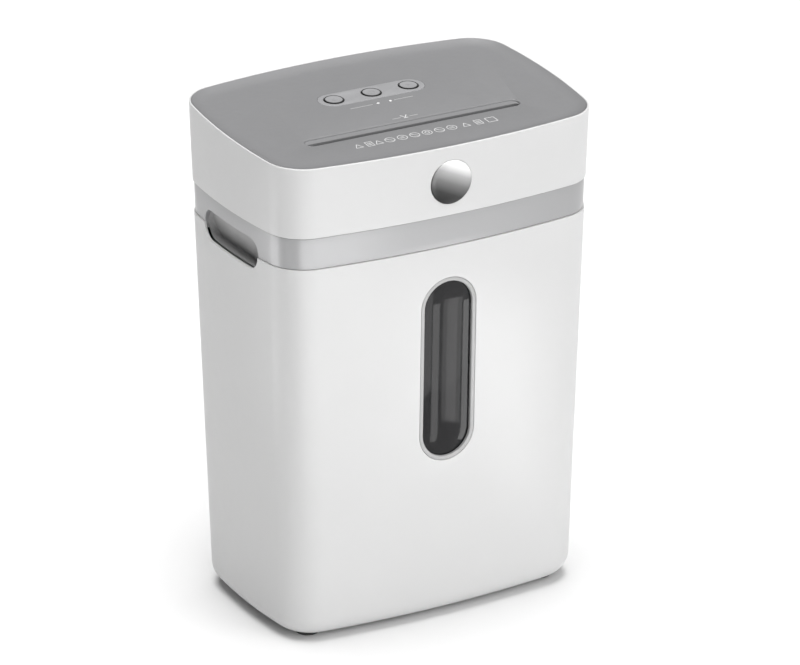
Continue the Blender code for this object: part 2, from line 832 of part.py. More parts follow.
def stripper_comb(name, bar_low, bar_high, tip, centres):
    """A bar with a finger in each groove between a roller's discs."""
    towards = tip > bar_high
    bar_edge = bar_high if towards else bar_low
    far_edge = bar_low if towards else bar_high
    half = FRAME_X - GAP
    points = [(-half, far_edge), (-half, bar_edge)]
    for first, second in zip(centres, centres[1:]):
        middle = (first + second) / 2
        left = middle - 0.0026
        right = middle + 0.0026
        points += [(left, bar_edge), (left, tip), (right, tip), (right, bar_edge)]
    points += [(half, bar_edge), (half, far_edge)]
    mesh = prism(name, points, AXIS_Z - 0.0035, AXIS_Z + 0.0035)
    part(name, mesh, "black_plastic", parent=HEAD)


def side_plate(name, side, back_edge, holes):
    """One cutter frame plate with its round holes, each given as (name, y, z, radius)."""
    ends = sorted((side * FRAME_X, side * (FRAME_X + FRAME_THICKNESS)))
    mesh = box(name, (ends[0], -0.088, FRAME_LOW), (ends[1], back_edge, FRAME_HIGH))
    obj = part(name, mesh, "steel", parent=HEAD)
    for label, y, z, radius in holes:
        hole = rod(f"{name}_{label}", radius, -0.01, 0.01, 18)
        spot = (side * FRAME_X, y, z)
        combine(obj, cutter(f"{name}_{label}", hole, spot, TO_X))


def bushes():
    profile = [(0.00525, 0.1162), (0.0080, 0.1162), (0.0080, 0.1120), (0.00525, 0.1120)]
    left = [(radius, -x) for radius, x in profile[::-1]]
    left = left[2:] + left[:2]
    for y, depth in ((FRONT_AXIS_Y, "front"), (REAR_AXIS_Y, "rear")):
        for side, shape in (("left", left), ("right", profile)):
            turned(
                f"bush_{depth}_{side}",
                "brass",
                shape,
                12,
                closed=True,
                location=(0, y, AXIS_Z),
                rotation=TO_X,
                parent=HEAD,
            )


def tie_rods():
    reach = FRAME_X - GAP
    for name, y, z in (("tie_rod_front", -0.080, 0.438), ("tie_rod_rear", -0.012, 0.388)):
        mesh = rod(name, 0.004, -reach, reach, 12)
        part(name, mesh, "steel", location=(0, y, z), rotation=TO_X, parent=HEAD)


# ---------------------------------------------------------------- gears and motor

ADDENDUM = 0.8  # in modules
DEDENDUM = 1.1

Stage = namedtuple("Stage", "teeth module")
SYNC = Stage(16, 0.0020)
DRIVE = Stage(36, 0.0015)
SECOND_SMALL = Stage(12, 0.0015)
SECOND_LARGE = Stage(40, 0.00125)
FIRST_SMALL = Stage(12, 0.00125)
FIRST_LARGE = Stage(44, 0.0010)
PINION = Stage(10, 0.0010)

DRIVE_PLANE = (0.1180, 0.1240)
MIDDLE_PLANE = (0.1250, 0.1300)
MOTOR_PLANE = (0.1310, 0.1350)


def pitch_radius(stage):
    return stage.teeth * stage.module / 2


def spacing(one, other):
    return pitch_radius(one) + pitch_radius(other)


def meet(one, one_reach, other, other_reach):
    """The upper point at given distances from two points of the Y-Z plane."""
    between = other - one
    along = (between.length_squared + one_reach**2 - other_reach**2) / (2 * between.length)
    across = math.sqrt(one_reach**2 - along**2)
    unit = between.normalized()
    return one + unit * along + Vector((-unit.y, unit.x)) * across


REAR_CENTRE = Vector((REAR_AXIS_Y, AXIS_Z))
MOTOR_CENTRE = Vector((MOTOR_Y, MOTOR_Z))
FIRST_CENTRE = MOTOR_CENTRE + Matrix.Rotation(math.radians(149), 2) @ Vector(
    (spacing(FIRST_LARGE, PINION), 0)
)
SECOND_CENTRE = meet(
    REAR_CENTRE, spacing(DRIVE, SECOND_SMALL), FIRST_CENTRE, spacing(SECOND_LARGE, FIRST_SMALL)
)


def bearing(centre, target):
    """The direction in the Y-Z plane from one centre to another."""
    return math.atan2(target.y - centre.y, target.x - centre.x)


def gear_outline(stage, phase):
    """Straight-flanked teeth; one tooth points along phase."""
    tip = pitch_radius(stage) + ADDENDUM * stage.module
    root = pitch_radius(stage) - DEDENDUM * stage.module
    pitch = 2 * math.pi / stage.teeth
    points = []
    for tooth in range(stage.teeth):
        middle = phase + tooth * pitch
        for radius, share in ((root, -0.30), (tip, -0.13), (tip, 0.13), (root, 0.30)):
            angle = middle + share * pitch
            points.append((radius * math.cos(angle), radius * math.sin(angle)))
    return points


def gear_mesh(name, stage, phase, plane):
    """A gear about X through the local origin, with phase measured from Y towards Z."""
    shape = gear_outline(stage, phase)
    return loft(name, [[(x, y, z) for y, z in shape] for x in plane])


def gear(name, stage, phase, plane, centre, bore, material, parent):
    mesh = gear_mesh(name, stage, phase, plane)
    spot = (0, centre.x, centre.y)
    obj = part(name, mesh, material, location=spot, parent=parent)
    hole = rod(f"{name}_bore", bore, -0.2, 0.2)
    combine(obj, cutter(f"{name}_bore", hole, spot, TO_X))
    return obj


def joined_gear(name, small, small_phase, small_plane, large, large_phase, large_plane, centre, parent):
    """Two gears moulded as one, on a pin."""
    obj = gear(name, large, large_phase, large_plane, centre, PIN_BORE, "nylon", parent)
    into = ((small_plane[0] + large_plane[0]) / 2, (small_plane[1] + large_plane[1]) / 2)
    reach = (min(small_plane[0], into[0]), max(small_plane[1], into[1]))
    mesh = gear_mesh(f"{name}_small", small, small_phase, reach)
    union = obj.modifiers.new("small gear", "BOOLEAN")
    union.operation = "UNION"
    union.solver = "EXACT"
    union.object = cutter(f"{name}_small", mesh, obj.location)
    obj.modifiers.move(1, 0)  # joined before the bore is cut


def opposite_gap(angle, stage):
    """The phase that puts a gap, not a tooth, in the direction facing back along angle."""
    return angle + math.pi + math.pi / stage.teeth


def gears(bodies):
    front = Vector((FRONT_AXIS_Y, AXIS_Z))
    left_plane = (-0.1240, -0.1180)
    gear("front_sync_gear", SYNC, 0.0, left_plane, front, SHAFT_BORE, "nylon", bodies["front"])
    gap = opposite_gap(0.0, SYNC)
    gear("rear_sync_gear", SYNC, gap, left_plane, REAR_CENTRE, SHAFT_BORE, "nylon", bodies["rear"])

    to_second = bearing(REAR_CENTRE, SECOND_CENTRE)
    gear(
        "drive_gear", DRIVE, to_second, DRIVE_PLANE, REAR_CENTRE, SHAFT_BORE, "nylon", bodies["rear"]
    )
    to_first = bearing(SECOND_CENTRE, FIRST_CENTRE)
    joined_gear(
        "second_gear",
        SECOND_SMALL,
        opposite_gap(to_second, SECOND_SMALL),
        DRIVE_PLANE,
        SECOND_LARGE,
        to_first,
        MIDDLE_PLANE,
        SECOND_CENTRE,
        bodies["second"],
    )
    to_motor = bearing(FIRST_CENTRE, MOTOR_CENTRE)
    joined_gear(
        "first_gear",
        FIRST_SMALL,
        opposite_gap(to_first, FIRST_SMALL),
        MIDDLE_PLANE,
        FIRST_LARGE,
        to_motor,
        MOTOR_PLANE,
        FIRST_CENTRE,
        bodies["first"],
    )
    gap = opposite_gap(to_motor, PINION)
    gear("motor_pinion", PINION, gap, MOTOR_PLANE, MOTOR_CENTRE, 0.0022, "brass", bodies["rotor"])


def gear_pins():
    """Riveted in the right side plate, with a shoulder that spaces the gear off the plate."""
    plate_face = FRAME_X + FRAME_THICKNESS + GAP
    pins = (
        ("gear_pin_second", SECOND_CENTRE, DRIVE_PLANE[0] - GAP),
        ("gear_pin_first", FIRST_CENTRE, MIDDLE_PLANE[0] - GAP),
    )
    for name, centre, shoulder in pins:
        profile = [(0, 0.1370), (0.003, 0.1370), (0.003, shoulder), (0.0045, shoulder)]
        profile += [(0.0045, plate_face), (0.003, plate_face), (0.003, 0.1123), (0, 0.1123)]
        spot = (0, centre.x, centre.y)
        turned(name, "steel", profile, 12, location=spot, rotation=TO_X, parent=HEAD)


def motor(rotor):
    spot = (0, MOTOR_Y, MOTOR_Z)
    can = [
        (0, 0.0980),
        (0.0024, 0.0980),
        (0.0024, 0.1160),
        (0.0088, 0.1160),
        (0.0088, 0.1120),
        (MOTOR_RADIUS - 0.0015, 0.1120),
        (MOTOR_RADIUS, 0.1105),
        (MOTOR_RADIUS, 0.0335),
        (MOTOR_RADIUS - 0.0015, 0.0320),
        (0, 0.0320),
    ]
    turned("motor_can", "steel", can, 24, location=spot, rotation=TO_X, parent=HEAD)
    end = [(0, 0.0317), (0.0235, 0.0317), (0.0235, 0.0240), (0.0120, 0.0200), (0, 0.0200)]
    turned("motor_end_cap", "black_plastic", end, 24, location=spot, rotation=TO_X, parent=HEAD)
    shaft = [(0, 0.1360), (0.0019, 0.1360), (0.0019, 0.0990), (0, 0.0990)]
    turned("rotor_shaft", "steel", shaft, 12, location=spot, rotation=TO_X, parent=rotor)


# ---------------------------------------------------------------- electrical parts and interlock


def power_board():
    low = TRAY_FLOOR + TRAY_THICKNESS + GAP
    top = low + 0.0016
    board = box("power_board", (-0.126, 0.016, low), (-0.042, 0.078, top))
    part("power_board", board, "board_green", parent=HEAD)
    relay = box("relay", (-0.104, 0.038, top + GAP), (-0.076, 0.062, top + 0.021))
    part("relay", relay, "black_plastic", parent=HEAD)


def motor_lead():
    """Both motor wires in one sleeve, from the end cap down to the power board."""
    route = [
        (0.0196, 0.0520, 0.4060),
        (0.0080, 0.0520, 0.4050),
        (-0.0120, 0.0515, 0.4000),
        (-0.0330, 0.0500, 0.3930),
        (-0.0500, 0.0485, 0.3870),
        (-0.0590, 0.0475, 0.3850),
        (-0.0620, 0.0470, 0.3825),
        (-0.0620, 0.0470, 0.3780),
    ]
    curve = bpy.data.curves.new("motor_lead", "CURVE")
    curve.dimensions = "3D"
    curve.bevel_depth = 0.0016
    curve.bevel_resolution = 2
    curve.use_fill_caps = True
    spline = curve.splines.new("POLY")
    spline.points.add(len(route) - 1)
    for point, place in zip(spline.points, route):
        point.co = (*place, 1.0)
    curve.materials.append(finish("red_insulation"))
    obj = bpy.data.objects.new("motor_lead", curve)
    PARTS.objects.link(obj)
    obj.parent = HEAD
    obj.matrix_parent_inverse = parent_place(HEAD).inverted()


def interlock():
    profile = [
        (0, 0.3819),
        (0.0015, 0.3819),
        (0.0015, 0.3812),
        (0.0042, 0.3812),
        (0.0042, 0.3800),
        (0.0025, 0.3800),
        (0.0025, 0.3668),
        (0.0020, 0.3663),
        (0, 0.3663),
    ]
    turned("interlock_plunger", "nylon", profile, 12, location=(*PLUNGER, 0), parent=HEAD)
    low = (PLUNGER.x - 0.010, PLUNGER.y - 0.003, 0.3822)
    high = (PLUNGER.x + 0.010, PLUNGER.y + 0.003, 0.3922)
    part("interlock_switch", box("interlock_switch", low, high), "black_plastic", parent=HEAD)


# ---------------------------------------------------------------- assembly


def build_bin():
    handles = handle_cutter()
    bin_shell(handles)
    window_frame()
    window_lens()
    feet()
    return handles


def build_housing(handles):
    upper_shell()
    badge_disc()
    cord_gland()
    silver_band(handles)
    handle_cup("handle_cup_left", -1)
    handle_cup("handle_cup_right", 1)
    base_tray()
    housing_screws()


def build_top():
    top_panel()
    button_plate()
    buttons()
    button_board()
    light_pipes()
    paper_guide()
    paper_lever()
    sensor_holder()


def build_mechanism():
    bodies = {
        "front": empty("front_cutter_axis", (0, FRONT_AXIS_Y, AXIS_Z), HEAD),
        "rear": empty("rear_cutter_axis", (0, REAR_AXIS_Y, AXIS_Z), HEAD),
        "second": empty("second_gear_axis", (0, *SECOND_CENTRE), HEAD),
        "first": empty("first_gear_axis", (0, *FIRST_CENTRE), HEAD),
        "rotor": empty("rotor_axis", (0, MOTOR_Y, MOTOR_Z), HEAD),
    }
    front_centres = disc_centres(-DISC_PITCH / 4)
    rear_centres = disc_centres(DISC_PITCH / 4)
    cutter_roller("front_cutter", front_centres, -0.1255, 0.1165, FRONT_AXIS_Y, bodies["front"])
    cutter_roller("rear_cutter", rear_centres, -0.1255, 0.1255, REAR_AXIS_Y, bodies["rear"])
    reach = CORE_RADIUS + 0.0008
    clear = DISC_RADIUS + 0.0010
    front_bar = FRONT_AXIS_Y - clear
    stripper_comb("comb_front", front_bar - 0.004, front_bar, FRONT_AXIS_Y - reach, front_centres)
    rear_bar = REAR_AXIS_Y + clear
    stripper_comb("comb_rear", rear_bar, rear_bar + 0.004, REAR_AXIS_Y + reach, rear_centres)
    roller_holes = [("front", FRONT_AXIS_Y, AXIS_Z, 0.0083), ("rear", REAR_AXIS_Y, AXIS_Z, 0.0083)]
    pin_holes = [("second", *SECOND_CENTRE, PIN_BORE), ("first", *FIRST_CENTRE, PIN_BORE)]
    motor_hole = [("motor", MOTOR_Y, MOTOR_Z, 0.0095)]
    side_plate("side_plate_left", -1, -0.004, roller_holes)
    side_plate("side_plate_right", 1, 0.084, roller_holes + pin_holes + motor_hole)
    bushes()
    tie_rods()
    gears(bodies)
    gear_pins()
    motor(bodies["rotor"])


def build_electrics():
    power_board()
    motor_lead()
    interlock()


clear_scene()
PARTS = new_collection("paper_shredder")
CUTTERS = new_collection("cutters")
HEAD = empty("head", (0, 0, BIN_TOP))
build_housing(build_bin())
build_top()
build_mechanism()
build_electrics()
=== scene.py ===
"""Looks of the paper shredder: fine housing meshes, procedural finishes, floor, light and camera.

Metres, +Z up, +Y towards the back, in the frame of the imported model.
"""

import json
import math
from collections import namedtuple

import bmesh
import bpy
from mathutils import Matrix, Vector


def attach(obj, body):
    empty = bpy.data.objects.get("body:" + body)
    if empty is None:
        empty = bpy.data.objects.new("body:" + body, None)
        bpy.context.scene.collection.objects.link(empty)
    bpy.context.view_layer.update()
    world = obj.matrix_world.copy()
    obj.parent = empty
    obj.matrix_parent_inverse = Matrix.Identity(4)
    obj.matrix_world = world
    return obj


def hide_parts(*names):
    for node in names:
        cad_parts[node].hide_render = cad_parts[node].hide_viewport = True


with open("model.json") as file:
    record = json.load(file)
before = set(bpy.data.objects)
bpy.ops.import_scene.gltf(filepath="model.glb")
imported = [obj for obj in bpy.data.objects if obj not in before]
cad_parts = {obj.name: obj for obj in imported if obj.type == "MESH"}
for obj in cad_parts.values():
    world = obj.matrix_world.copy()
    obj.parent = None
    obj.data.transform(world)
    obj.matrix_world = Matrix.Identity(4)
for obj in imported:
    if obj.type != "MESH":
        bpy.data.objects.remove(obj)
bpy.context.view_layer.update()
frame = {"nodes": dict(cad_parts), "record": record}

# ---------------------------------------------------------------- dimensions shared with the CAD

HEIGHT = 0.475
TOP_SLOPE = 0.0499
TILT = math.atan(TOP_SLOPE)

Plan = namedtuple("Plan", "half_width half_depth side_bow front_bow back_bow front_corner back_corner")
FLOOR_PLAN = Plan(0.1580, 0.1021, 0.0102, 0.0127, 0.0167, 0.0388, 0.0423)
TOP_PLAN = Plan(0.1693, 0.1144, 0.0115, 0.0154, 0.0162, 0.0381, 0.0387)
LONG_STEPS = 28
CORNER_STEPS = 24
SIDE_STEPS = 16

GAP = 0.0003
WALL = 0.0025
BIN_BASE = 0.0030
BIN_TOP = 0.3726
BIN_FILLET = 0.0199
BAND_LOW = 0.3730
BAND_HIGH = 0.4025
BAND_INSET = 0.0012
BAND_INNER = 0.0050
TONGUE = 0.0060
SHELL_LOW = 0.4029
SHELL_WALL = 0.0032
RIM_WIDTH = 0.0019

WINDOW_LOW = 0.1891
WINDOW_HIGH = 0.3135
WINDOW_RADIUS = 0.0287
LENS_RADIUS = 0.0246
BADGE_RADIUS = 0.02095
BADGE_HEIGHT = 0.4351

HANDLE_Y = -0.0006
HANDLE_Z = 0.3735
HANDLE_LENGTH = 0.0509
HANDLE_RADIUS = 0.0146
CUP_WALL = 0.0018
CUP_FLOOR = 0.1490
CUP_RISE = 0.0085

DISH_DEPTH = 0.0037
DISH_RUN = 0.0150
SLOT_Y = -0.04415
SLOT_LENGTH = 0.1103
SLOT_WIDTH = 0.00705
THROAT_Y = -0.0460
THROAT_LENGTH = 0.1097
THROAT_WIDTH = 0.0028
THROAT_DEPTH = 0.0019

PLATE_Y = 0.0329
PLATE_LENGTH = 0.0543
PLATE_RADIUS = 0.0143
BUTTON_PITCH = 0.0389
BUTTON_RADIUS = 0.0089
BUTTON_HOLE = 0.0098
SKIRT_WIDTH = 0.0010
SKIRT_LOW = -0.0040
SKIRT_HIGH = 0.00075
LIGHT_X = 0.0064
LIGHT_Y = 0.0087
LIGHT_RADIUS = 0.0015

# ---------------------------------------------------------------- outlines


def bow_radius(half_chord, bow):
    return (half_chord**2 + bow**2) / (2 * bow)


def arc(centre, radius, start, end, steps):
    """Points along an arc, without its last one."""
    angles = [start + (end - start) * step / steps for step in range(steps)]
    return [(centre[0] + radius * math.cos(a), centre[1] + radius * math.sin(a)) for a in angles]


def plan_at(height):
    share = height / HEIGHT
    return Plan(*(low + (high - low) * share for low, high in zip(FLOOR_PLAN, TOP_PLAN)))


def quarter(plan, bow, corner, inset):
    """The outline from the middle of the front to just before the middle of the right side."""
    long_radius = bow_radius(plan.half_width, bow)
    side_radius = bow_radius(plan.half_depth, plan.side_bow)
    long_centre = Vector((0.0, long_radius - plan.half_depth))
    side_centre = Vector((plan.half_width - side_radius, 0.0))
    between = side_centre - long_centre
    along = (between.length_squared + (long_radius - corner) ** 2 - (side_radius - corner) ** 2) / (
        2 * between.length
    )
    across = math.sqrt((long_radius - corner) ** 2 - along**2)
    unit = between.normalized()
    corner_centre = long_centre + unit * along + Vector((-unit.y, unit.x)) * across
    first = math.atan2(*(corner_centre - long_centre).yx)
    last = math.atan2(*(corner_centre - side_centre).yx)
    return (
        arc(long_centre, long_radius - inset, -math.pi / 2, first, LONG_STEPS)
        + arc(corner_centre, corner - inset, first, last, CORNER_STEPS)
        + arc(side_centre, side_radius - inset, last, 0.0, SIDE_STEPS)
    )


def outline(height, inset=0.0):
    """The body's outline at a height, moved inwards by inset, anticlockwise from the front middle."""
    plan = plan_at(height)
    front = quarter(plan, plan.front_bow, plan.front_corner, inset)
    back = quarter(plan, plan.back_bow, plan.back_corner, inset)
    right = front + [(plan.half_width - inset, 0.0)] + [(x, -y) for x, y in reversed(back)]
    return right + [(-x, y) for x, y in reversed(right[1:-1])]


def level_ring(height, inset):
    return [(x, y, height) for x, y in outline(height, inset)]


def rim_z(y):
    return HEIGHT + TOP_SLOPE * y


def flat_z(y):
    return rim_z(y) - DISH_DEPTH


def rim_ring(inset, drop):
    return [(x, y, rim_z(y) - drop) for x, y in outline(HEIGHT, inset)]


def front_y(x, height, inset=0.0):
    plan = plan_at(height)
    radius = bow_radius(plan.half_width, plan.front_bow)
    return radius - plan.half_depth - math.sqrt((radius - inset) ** 2 - x**2)


def back_y(x, height):
    plan = plan_at(height)
    radius = bow_radius(plan.half_width, plan.back_bow)
    return plan.half_depth - radius + math.sqrt(radius**2 - x**2)


def side_x(y, height, inset=0.0):
    plan = plan_at(height)
    radius = bow_radius(plan.half_depth, plan.side_bow)
    return plan.half_width - radius + math.sqrt((radius - inset) ** 2 - y**2)


def capsule(length, radius, steps=24, straight=6):
    """A flat outline with two round ends along X, length being half of the whole."""
    middle = length - radius
    right = arc((middle, 0), radius, -math.pi / 2, math.pi / 2, steps)
    right += [(middle * (1 - 2 * step / straight), radius) for step in range(straight)]
    return right + [(-x, -y) for x, y in right]


def ring_between(low, high, share):
    return [tuple(a + (b - a) * share for a, b in zip(p, q)) for p, q in zip(low, high)]


def rounding(steps=4):
    """Pairs that run from (1, 0) to (0, 1) round a quarter circle whose centre is (1, 1)."""
    for step in range(steps + 1):
        angle = math.pi / 2 * step / steps
        yield 1 - math.sin(angle), 1 - math.cos(angle)


# ---------------------------------------------------------------- mesh helpers


def new_object(name, bm, material=None):
    bmesh.ops.recalc_face_normals(bm, faces=bm.faces)
    mesh = bpy.data.meshes.new(name)
    bm.to_mesh(mesh)
    bm.free()
    obj = bpy.data.objects.new(name, mesh)
    bpy.context.scene.collection.objects.link(obj)
    if material:
        mesh.materials.append(material)
    return obj


def smooth(obj, degrees=32):
    obj.data.shade_smooth()
    obj.data.set_sharp_from_angle(angle=math.radians(degrees))
    return obj


def loft(name, rings, material=None, loop=False):
    """A solid through rings of equal length: capped at both ends, or joined end to end in a loop."""
    bm = bmesh.new()
    rows = [[bm.verts.new(point) for point in ring] for ring in rings]
    pairs = list(zip(rows, rows[1:]))
    if loop:
        pairs.append((rows[-1], rows[0]))
    else:
        bm.faces.new(rows[0])
        bm.faces.new(rows[-1])
    for low, high in pairs:
        for i in range(len(low)):
            j = (i + 1) % len(low)
            bm.faces.new((low[i], low[j], high[j], high[i]))
    return new_object(name, bm, material)


def turned(name, profile, material, segments=64):
    """A turned solid about Z through a profile of (radius, height) whose ends lie on the axis."""
    bm = bmesh.new()
    low = bm.verts.new((0, 0, profile[-1][1]))
    top = bm.verts.new((0, 0, profile[0][1]))
    rows = []
    for radius, height in profile[1:-1]:
        rows.append([bm.verts.new((x, y, height)) for x, y in arc((0, 0), radius, 0, 2 * math.pi, segments)])
    for i in range(segments):
        j = (i + 1) % segments
        bm.faces.new((top, rows[0][i], rows[0][j]))
        bm.faces.new((low, rows[-1][i], rows[-1][j]))
        for upper, lower in zip(rows, rows[1:]):
            bm.faces.new((upper[i], upper[j], lower[j], lower[i]))
    return new_object(name, bm, material)


def placed(obj, location, rotation=(0, 0, 0)):
    """Moves the mesh itself, so that the object stays at the origin."""
    turn = Matrix.LocRotScale(Vector(location), Matrix.Rotation(0, 3, "X"), None)
    for axis, angle in zip("ZYX", reversed(rotation)):
        turn = turn @ Matrix.Rotation(angle, 4, axis)
    obj.data.transform(turn)
    return obj


def carve(obj, *cutters, operation="DIFFERENCE"):
    """Applies Booleans and removes the cutters."""
    for cutter in cutters:
        modifier = obj.modifiers.new("carve", "BOOLEAN")
        modifier.operation = operation
        modifier.solver = "EXACT"
        modifier.object = cutter
    graph = bpy.context.evaluated_depsgraph_get()
    mesh = bpy.data.meshes.new_from_object(obj.evaluated_get(graph), depsgraph=graph)
    obj.modifiers.clear()
    old = obj.data
    obj.data = mesh
    mesh.name = obj.name
    bpy.data.meshes.remove(old)
    for cutter in cutters:
        bpy.data.objects.remove(cutter)
    return obj


def shown(obj, body, slot, *nodes):
    """Says what a piece rides on and the CAD nodes that it stands for; the finish's slot is not used."""
    smooth(obj)
    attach(obj, body)
    if nodes:
        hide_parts(*nodes)
    return obj


# ---------------------------------------------------------------- finishes


def shader_material(name, colour, roughness, metallic=0.0):
    material = bpy.data.materials.new(name)
    material.use_nodes = True
    shader = material.node_tree.nodes["Principled BSDF"]
    shader.inputs["Base Color"].default_value = (*colour, 1.0)
    shader.inputs["Roughness"].default_value = roughness
    shader.inputs["Metallic"].default_value = metallic
    material.diffuse_color = (*colour, 1.0)
    return material, shader


def noise(tree, scale, detail=2.0, stretch=(1, 1, 1)):
    """A noise texture in object coordinates, in cycles per metre."""
    place = tree.nodes.new("ShaderNodeTexCoord")
    mapping = tree.nodes.new("ShaderNodeMapping")
    mapping.inputs["Scale"].default_value = stretch
    texture = tree.nodes.new("ShaderNodeTexNoise")
    texture.inputs["Scale"].default_value = scale
    texture.inputs["Detail"].default_value = detail
    tree.links.new(place.outputs["Object"], mapping.inputs["Vector"])
    tree.links.new(mapping.outputs["Vector"], texture.inputs["Vector"])
    return texture.outputs["Fac"]


def toned(tree, source, colour, spread):
    """The colour, a little darker and lighter along a noise."""
    ramp = tree.nodes.new("ShaderNodeValToRGB")
    for element, place, factor in zip(ramp.color_ramp.elements, (0.3, 0.7), (1 - spread, 1 + spread)):
        element.position = place
        element.color = (*(min(1.0, value * factor) for value in colour), 1.0)
    tree.links.new(source, ramp.inputs["Fac"])
    return ramp.outputs["Color"]


def ranged(tree, source, low, high):
    node = tree.nodes.new("ShaderNodeMapRange")
    node.inputs["From Min"].default_value = 0.3
    node.inputs["From Max"].default_value = 0.7
    node.inputs["To Min"].default_value = low
    node.inputs["To Max"].default_value = high
    tree.links.new(source, node.inputs["Value"])
    return node.outputs["Result"]


def bumped(tree, source, distance, strength=1.0):
    node = tree.nodes.new("ShaderNodeBump")
    node.inputs["Distance"].default_value = distance
    node.inputs["Strength"].default_value = strength
    tree.links.new(source, node.inputs["Height"])
    return node.outputs["Normal"]


def finish(name, colour, roughness, metallic=0.0, tone=0.02, cloud=18, grain=2500, depth=0.00001,
           stretch=(1, 1, 1), rough_spread=0.04):
    """A moulded or machined surface: clouded colour, uneven gloss and a fine grain."""
    material, shader = shader_material(name, colour, roughness, metallic)
    tree = material.node_tree
    clouds = noise(tree, cloud, 3.0, stretch)
    tree.links.new(toned(tree, clouds, colour, tone), shader.inputs["Base Color"])
    patches = noise(tree, cloud * 6, 2.0, stretch)
    rough = ranged(tree, patches, roughness - rough_spread, roughness + rough_spread)
    tree.links.new(rough, shader.inputs["Roughness"])
    fine = noise(tree, grain, 2.0, stretch)
    tree.links.new(bumped(tree, fine, depth), shader.inputs["Normal"])
    return material


def lens_material():
    """Smoked clear plastic, nearly black, with a polished face."""
    colour = (0.012, 0.012, 0.013)
    material = finish("smoked_lens", colour, 0.05, tone=0.10, grain=60, depth=0.00002, rough_spread=0.02)
    shader = material.node_tree.nodes["Principled BSDF"]
    shader.inputs["Alpha"].default_value = 0.93
    shader.inputs["Specular IOR Level"].default_value = 0.25
    return material


def badge_painted_reflection_material():
    """Chrome with a painted reflection: the base colour runs from dark at the lower left to bright at the
    upper right.
    """
    material, shader = shader_material("badge_chrome_painted_reflection", (0.8, 0.8, 0.8), 0.22, 0.35)
    shader.inputs["Specular IOR Level"].default_value = 0.15
    tree = material.node_tree
    place = tree.nodes.new("ShaderNodeTexCoord")
    mapping = tree.nodes.new("ShaderNodeMapping")
    mapping.vector_type = "POINT"
    mapping.inputs["Location"].default_value = (0.5, 0.0, 0.5 - BADGE_HEIGHT / (2 * BADGE_RADIUS))
    mapping.inputs["Scale"].default_value = (1 / (2 * BADGE_RADIUS),) * 3
    split = tree.nodes.new("ShaderNodeSeparateXYZ")
    tree.links.new(place.outputs["Object"], mapping.inputs["Vector"])
    tree.links.new(mapping.outputs["Vector"], split.inputs["Vector"])
    across = tree.nodes.new("ShaderNodeMath")
    across.operation = "MULTIPLY"
    across.inputs[1].default_value = 0.35
    tree.links.new(split.outputs["X"], across.inputs[0])
    mix = tree.nodes.new("ShaderNodeMath")
    mix.operation = "MULTIPLY_ADD"
    mix.inputs[1].default_value = 0.75
    tree.links.new(split.outputs["Z"], mix.inputs[0])
    tree.links.new(across.outputs["Value"], mix.inputs[2])
    ramp = tree.nodes.new("ShaderNodeValToRGB")
    # These grey stops paint the reflection into the base colour, from near black at the lower left to near
    # white at the upper right.
    reflection_stops = ((0.10, 0.006), (0.33, 0.05), (0.52, 0.18), (0.70, 0.42), (0.88, 0.95))
    while len(ramp.color_ramp.elements) < len(reflection_stops):
        ramp.color_ramp.elements.new(0.5)
    for element, (position, value) in zip(ramp.color_ramp.elements, reflection_stops):
        element.position = position
        element.color = (value, value, value, 1.0)
    tree.links.new(mix.outputs["Value"], ramp.inputs["Fac"])
    tree.links.new(ramp.outputs["Color"], shader.inputs["Base Color"])
    brushed = noise(tree, 900, 2.0, (1, 1, 0.1))
    tree.links.new(ranged(tree, brushed, 0.16, 0.26), shader.inputs["Roughness"])
    return material


MATERIALS = {
    "white_shell": finish("white_shell", (0.645, 0.645, 0.645), 0.38, tone=0.006, grain=3000, depth=0.000001),
    "pale_grey": finish("pale_grey", (0.41, 0.41, 0.41), 0.35, tone=0.01, grain=3000, depth=0.000001),
    "smoked_lens": lens_material(),
    "rubber": finish("rubber", (0.05, 0.05, 0.05), 0.8, tone=0.15, grain=1800, depth=0.00004),
    # The badge's base colour holds a painted reflection.
    "chrome": badge_painted_reflection_material(),
    "silver_band": finish(
        "silver_band", (0.365, 0.365, 0.370), 0.29, 0.25, tone=0.008, cloud=9, grain=4000, depth=0.0000006,
        rough_spread=0.008
    ),
    "grey_panel": finish("grey_panel", (0.21, 0.21, 0.2145), 0.5, tone=0.012, grain=3000, depth=0.000004),
    "light_grey": finish("light_grey", (0.305, 0.305, 0.312), 0.42, tone=0.012, grain=3000, depth=0.000003),
    "black_plastic": finish("black_plastic", (0.03, 0.03, 0.03), 0.5, tone=0.12, grain=2500, depth=0.00002),
    "clear_plastic": finish("clear_plastic", (0.66, 0.66, 0.66), 0.2, tone=0.02, grain=2000, depth=0.000005),
    "steel": finish(
        "steel", (0.55, 0.55, 0.56), 0.32, 1.0, tone=0.06, cloud=60, grain=2500, depth=0.00001,
        stretch=(0.15, 1, 1)
    ),
    "brass": finish("brass", (0.70, 0.52, 0.20), 0.38, 1.0, tone=0.08, cloud=120, grain=3500, depth=0.00002),
    "nylon": finish("nylon", (0.75, 0.73, 0.68), 0.45, tone=0.03, cloud=60, grain=2500, depth=0.00001),
    "circuit_board": finish("circuit_board", (0.03, 0.16, 0.06), 0.4, tone=0.25, cloud=150, grain=2500),
    "insulation": finish("insulation", (0.45, 0.02, 0.02), 0.45, tone=0.08, cloud=80),
}


def dress_nodes():
    """Gives every carried-over CAD node the finish of its slot."""
    for row in frame["record"]["subparts"]:
        for material_slot in frame["nodes"][row["node"]].material_slots:
            material_slot.material = MATERIALS[row["material_slot"]]


# ---------------------------------------------------------------- waste bin


def bowl_rings(fillet, wall, steps=14):
    for step in range(steps + 1):
        angle = math.pi / 2 * step / steps
        inset = wall + fillet * (1 - math.sin(angle))
        yield level_ring(BIN_BASE + wall + fillet * (1 - math.cos(angle)), inset)


